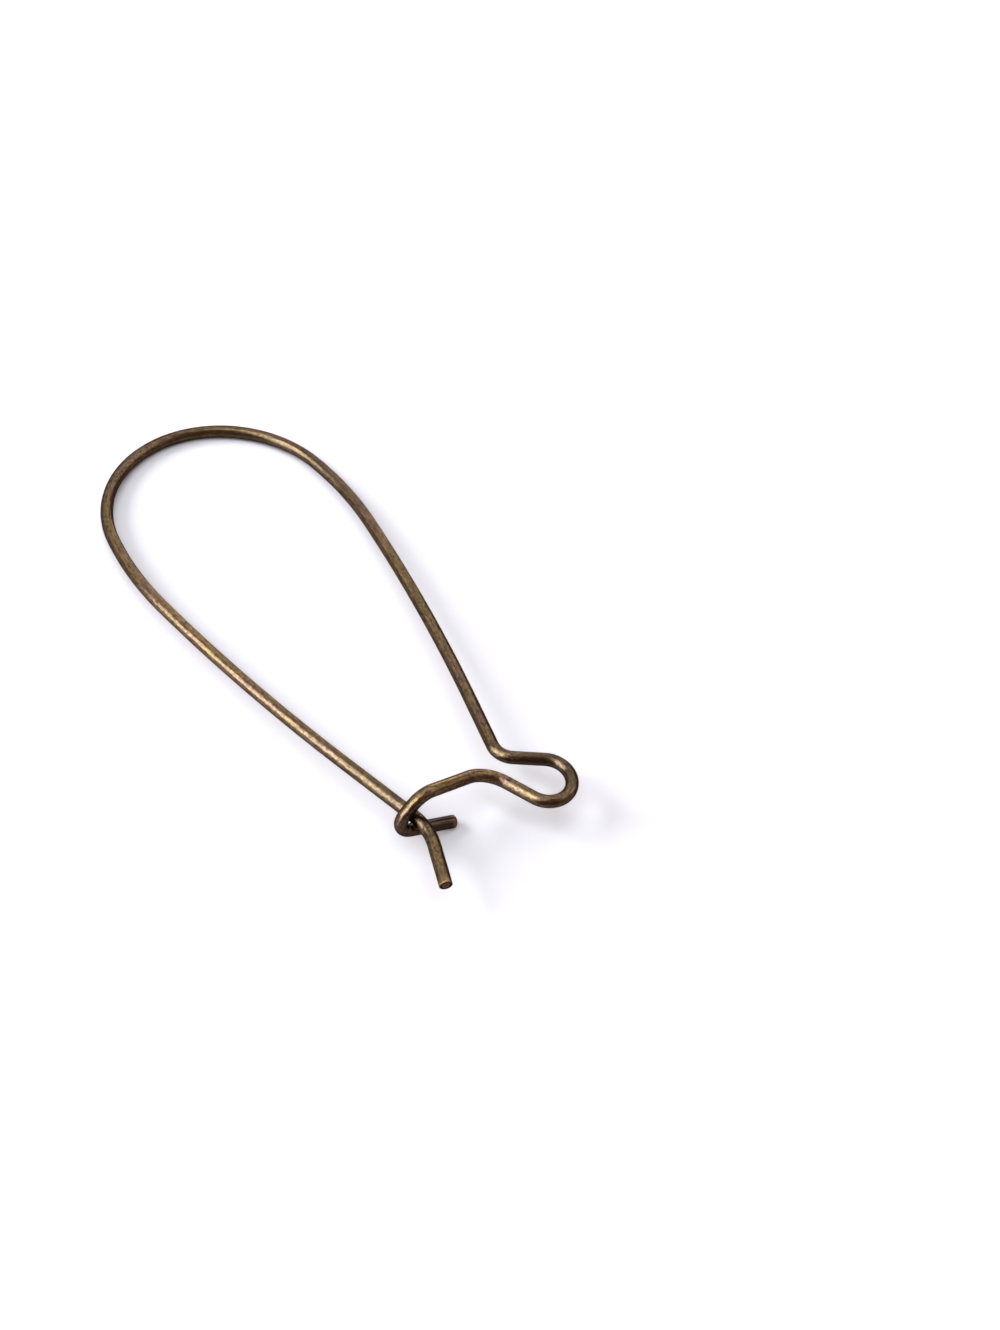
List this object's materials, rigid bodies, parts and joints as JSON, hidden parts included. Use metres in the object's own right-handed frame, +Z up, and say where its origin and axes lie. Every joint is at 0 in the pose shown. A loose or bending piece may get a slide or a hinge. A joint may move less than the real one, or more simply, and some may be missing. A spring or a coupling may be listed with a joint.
{
  "type": "kidney ear wire",
  "caption": "Kidney-shaped ear wire bent from one length of round wire, with a small loop for a charm and a catch that hooks round the free front leg.",
  "frame": {"origin": "middle of the outline seen from above, on the surface that the ear wire lies on", "axes": "+Z up from the surface, +Y along the main loop from the catch to the round crown, +X from the front leg to the back leg"},
  "size_m": [0.0144, 0.034, 0.0036],
  "materials": {
    "antique_bronze": "antique bronze: darkened brass, rubbed back to a satin shine, with fine drawing lines along the wire"
  },
  "bodies": {
    "root": {"ear_wire": "antique_bronze"}
  },
  "joints": []
}
